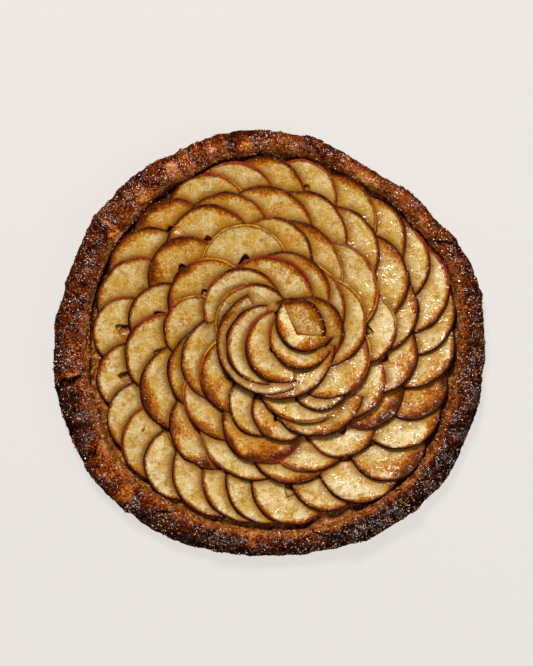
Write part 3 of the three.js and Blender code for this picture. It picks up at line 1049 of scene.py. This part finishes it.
def flesh(n, rim, shade_and_juice, mottle):
    """The apple's flesh without its toasting: its colour, with painted shade and dark juice beside slices
    on top, and the height of its bumps.
    """
    tone_and_shade = n.attribute("tone_and_shade")
    cloud = n.noise(4, 3)
    grain = n.noise(1.3, 2)
    fibres = {0: n.times(n.attribute("around"), MM), 1: n.times(rim, FIBRE_STRETCH * MM), 2: tone_and_shade}
    streaks = n.noise(1.7, 2, n.add("ShaderNodeCombineXYZ", fibres).outputs[0])
    cream = n.over(colour(214, 196, 150), mottle, 0.34, 0.66, colour(186, 146, 56))
    # darker, golden flesh: a random tint per slice, and on the rings painted shade toward azimuth 125
    cream = n.over(cream, tone_and_shade, -1, 1, colour(170, 128, 28), 0.6)
    cream = n.over(cream, cloud, 0.48, 0.7, colour(144, 98, 10), 0.75)
    cream = n.over(cream, grain, 0.5, 0.66, colour(146, 98, 32), 0.24)
    cream = n.over(cream, grain, 0.46, 0.32, colour(238, 228, 196), 0.3)
    cream = n.over(cream, streaks, 0.5, 0.68, colour(160, 112, 30), 0.2)
    cream = n.over(cream, streaks, 0.46, 0.3, colour(238, 224, 184), 0.16)
    # painted shade, with dark juice, that deepens toward a slice lying on top
    cream = n.over(cream, n.math("POWER", shade_and_juice, 0.35), 0.25, 0.95, colour(136, 92, 6), 0.85)
    height = n.plus(n.times(grain, 0.6), n.times(cloud, 1.4))
    return cream, n.plus(height, n.times(streaks, 0.35))


def toasted(n, cream, rim, shade_and_juice, mottle):
    """Flesh with its toasting, from golden to almost black, with painted shade and dark juice beside slices
    on top; and how toasted it is.
    """
    brown = n.attribute("brown")
    toast = n.plus(brown, n.around_zero(n.noise(1.9, 4, roughness=0.75), 1.9))
    toast = n.math("MULTIPLY", toast, n.spread(brown, 0.0, 0.12), clamp=True)
    baked = n.over(cream, toast, 0.02, 0.3, colour(172, 110, 20))
    baked = n.over(baked, toast, 0.22, 0.5, colour(144, 78, 10))
    baked = n.over(baked, toast, 0.45, 0.75, colour(112, 52, 7))
    baked = n.over(baked, toast, 0.7, 1.0, colour(62, 22, 3))
    flecks = n.times(n.spread(n.noise(1.5, 1), 0.68, 0.78), n.spread(mottle, 0.4, 0.6))
    baked = n.mix(n.times(flecks, 0.45), baked, colour(134, 78, 24))
    # more painted shade and dark juice beside a slice lying on top, darkest under it
    baked = n.over(baked, shade_and_juice, 0.1, 0.75, colour(130, 80, 14), 0.55)
    baked = n.over(baked, shade_and_juice, 0.6, 1.0, colour(92, 50, 10), 0.55)
    singe = n.plus(rim, n.around_zero(n.noise(3, 3), 2.4))
    return n.over(baked, singe, 3.0, 1.3, colour(78, 30, 4), 0.75), toast


def apple_material():
    n = Nodes("baked_apple")
    rim, shade_and_juice = n.attribute("rim"), n.attribute("shade_and_juice")
    mottle = n.noise(9, 3)
    cream, height = flesh(n, rim, shade_and_juice, mottle)
    baked, toast = toasted(n, cream, rim, shade_and_juice, mottle)
    peel = n.ramp(n.attribute("skin"), (0.0, 44, 13, 5), (0.28, 68, 14, 7), (0.5, 146, 38, 28),
                  (0.75, 180, 84, 24), (1.0, 194, 136, 34))
    peel = n.over(peel, n.noise(5, 2), 0.4, 0.65, colour(42, 12, 5), 0.6)
    is_peel = n.spread(n.plus(rim, n.around_zero(n.noise(4, 2), 0.9)), 1.2, 0.75)
    wet = n.times(n.spread(n.noise(7, 3), 0.46, 0.6), n.spread(n.noise(1.8, 2), 0.42, 0.56))
    shine = n.times(n.spread(wet, 0, 1, 0.06, 0.85), n.spread(toast, 0.15, 0.7, 1.0, 0.4))
    n.fill(n.shader, {
        "Base Color": n.mix(is_peel, baked, peel),
        "Roughness": n.larger(n.spread(wet, 0, 1, 0.35, 0.12), n.times(is_peel, 0.4)),
        "Specular IOR Level": n.times(shine, n.spread(is_peel, 0, 1, 1.0, 0.4)),
    })
    n.bump(height, strength=0.9, distance=0.7)
    return n.material


def pastry_colour(n, bake_and_shade, glaze):
    """Pastry from pale to black, with caramel over it where it is glazed."""
    shade = n.plus(bake_and_shade, n.around_zero(n.noise(7, 4), 0.45))
    shade = n.plus(shade, n.around_zero(n.noise(1.4, 3), n.spread(glaze, 0, 1, 1.5, 1.2)))
    pastry = n.ramp(shade, (0.0, 210, 164, 110), (0.2, 186, 120, 56), (0.36, 152, 76, 18),
                    (0.5, 112, 42, 6), (0.66, 66, 19, 2), (0.82, 32, 8, 2), (1.0, 12, 4, 2))
    caramel = n.times(glaze, n.spread(bake_and_shade, 0.4, 0.65, 0.32, 0))
    return n.mix(caramel, pastry, colour(154, 76, 8))


def crust_material():
    n = Nodes("baked_pastry")
    inside, glaze = n.attribute("inside"), n.attribute("glaze")
    syrup = n.ramp(n.noise(4, 4), (0.36, 44, 14, 2), (0.46, 118, 52, 8), (0.56, 166, 94, 26),
                   (0.68, 206, 150, 80))
    looks = n.mix(n.times(inside, 0.7), pastry_colour(n, n.attribute("bake_and_shade"), glaze), syrup)
    wet = n.times(n.spread(n.noise(8, 2), 0.47, 0.57), n.spread(n.noise(2.2, 2), 0.4, 0.52))
    drops = n.times(glaze, n.spread(n.noise(2.4, 2), 0.55, 0.6))
    pools = n.times(inside, n.spread(n.noise(3.2, 2), 0.5, 0.58))
    wet = n.larger(wet, n.larger(drops, pools))
    n.fill(n.shader, {
        "Base Color": n.mix(n.times(n.attribute("under"), 0.8), looks, colour(176, 118, 62)),
        "Roughness": n.larger(n.spread(wet, 0, 1, 0.35, 0.13), n.times(n.attribute("bare"), 0.4)),
        "Specular IOR Level": n.spread(wet, 0, 1, 0.02, 0.8),
    })
    height = n.plus(n.noise(2.1, 1), n.times(n.noise(0.9, 2), 0.35))
    n.bump(height, strength=1.0, distance=1.6)
    return n.material


def sugar_material():
    n = Nodes("baked_sugar")
    # tints from dark to pale; the palest are sugar's own white and partly painted glints
    looks = n.ramp(n.attribute("tint"), (0.0, 36, 10, 2), (0.45, 102, 42, 8),
                   (0.75, 158, 92, 36), (0.92, 202, 164, 126), (1.0, 230, 216, 202))
    worn = n.over(looks, n.noise(0.8, 2), 0.4, 0.7, colour(110, 58, 26), 0.3)
    n.fill(n.shader, {"Base Color": worn, "Roughness": 0.2, "Specular IOR Level": 0.35})
    return n.material


# ---- Stage, light and camera ----

PIXEL = 0.72  # millimetres of the galette for each pixel of the photograph
VIEW_MIDDLE = (-1.08, 6.48)
VIEW_PIXELS = 666  # the photograph's height
VIEW_LEVEL = 12  # height above the ground at which the view has that scale
LENS = 100
SENSOR = 36
# From here on in metres
CLIP = (0.05, 20)
GROUND_REACH = 4.0
GROUND_DROP = 0.0006
GROUND_COLOUR = colour(90, 88, 86)
GROUND_GLOW = 0.84
BACKDROP_REACH = 3.9
BACKDROP_HEIGHTS = (-0.01, 4.0)
BACKDROP_STEPS = 64
BLACK = colour(0, 0, 0)
PALE = colour(234, 229, 224)
LIGHTS = [  # name, place, power, size, tint
    ("key", (-0.3, 1.05, 1.5), 45, 0.5, (1.0, 0.98, 0.94)),
    ("fill", (1.1, -0.5, 1.0), 11, 0.9, (1.0, 1.0, 1.0)),
]
WORLD_TINT = (1.0, 0.985, 0.97, 1)
WORLD_STRENGTH = 0.1


def build_scenery(name, points, faces, base, glow):
    """A matt part of the stage, which glows as pale as the photograph's ground."""
    mesh = bpy.data.meshes.new(name)
    mesh.from_pydata(points, [], faces)
    n = Nodes(f"pale_{name}")
    n.fill(n.shader, {"Base Color": base, "Roughness": 0.9, "Specular IOR Level": 0})
    n.fill(n.shader, {"Emission Color": PALE, "Emission Strength": glow})
    mesh.materials.append(n.material)
    piece = add_object(name, mesh)
    piece.visible_glossy = False
    return piece


def build_ground():
    corners = [(GROUND_REACH * x, GROUND_REACH * y, 0) for x, y in ((-1, -1), (1, -1), (1, 1), (-1, 1))]
    ground = build_scenery("floor", corners, [(0, 1, 2, 3)], GROUND_COLOUR, GROUND_GLOW)
    ground.location.z = -GROUND_DROP


def build_backdrop():
    """A pale wall far round the stage, which only the camera sees."""
    turns = np.linspace(0, 2 * math.pi, BACKDROP_STEPS, endpoint=False)
    points = [(BACKDROP_REACH * math.cos(t), BACKDROP_REACH * math.sin(t), z)
              for z in BACKDROP_HEIGHTS for t in turns]
    faces = grid_faces(len(BACKDROP_HEIGHTS), BACKDROP_STEPS)
    backdrop = build_scenery("backdrop", points, faces, BLACK, glow=1.0)
    backdrop.visible_diffuse = False
    backdrop.visible_shadow = False


def build_light(name, place, power, size, tint):
    light = bpy.data.lights.new(name, "AREA")
    light.energy = power
    light.shape = "DISK"
    light.size = size
    light.color = tint
    lamp = add_object(name, light)
    lamp.location = place
    lamp.rotation_mode = "QUATERNION"
    lamp.rotation_quaternion = (-lamp.location).to_track_quat("-Z", "Y")


def build_camera():
    data = bpy.data.cameras.new("camera")
    data.lens = LENS
    data.sensor_width = SENSOR
    data.clip_start, data.clip_end = CLIP
    camera = add_object("camera", data)
    away = VIEW_PIXELS * PIXEL * LENS / SENSOR + VIEW_LEVEL
    camera.location = (VIEW_MIDDLE[0] * MM, VIEW_MIDDLE[1] * MM, away * MM)
    bpy.context.scene.camera = camera


def build_world():
    world = bpy.data.worlds.new("studio")
    bpy.context.scene.world = world
    world.use_nodes = True
    background = world.node_tree.nodes["Background"]
    background.inputs["Color"].default_value = WORLD_TINT
    background.inputs["Strength"].default_value = WORLD_STRENGTH


# ---- The galette ----

build_camera()
build_ground()
build_backdrop()
build_world()
for light in LIGHTS:
    build_light(*light)
bpy.context.scene.view_settings.view_transform = "Standard"

slices = lay_all()
drape_all(slices)
apple = apple_material()
for name in dict.fromkeys(s.name for s in slices):
    points, quads, values = join([slice_mesh(s) for s in slices if s.name == name])
    make_piece(f"{name}_look", points, quads, values, apple, name)
crust_grid, crust_shape = crust_rows()
crust_looks = crust_attributes(crust_grid, crust_shape)
build_crust(crust_grid, crust_looks, crust_material())
sugar = sugar_material()
crust_sugar(crust_grid, crust_looks, sugar)
apple_sugar(slices, sugar)
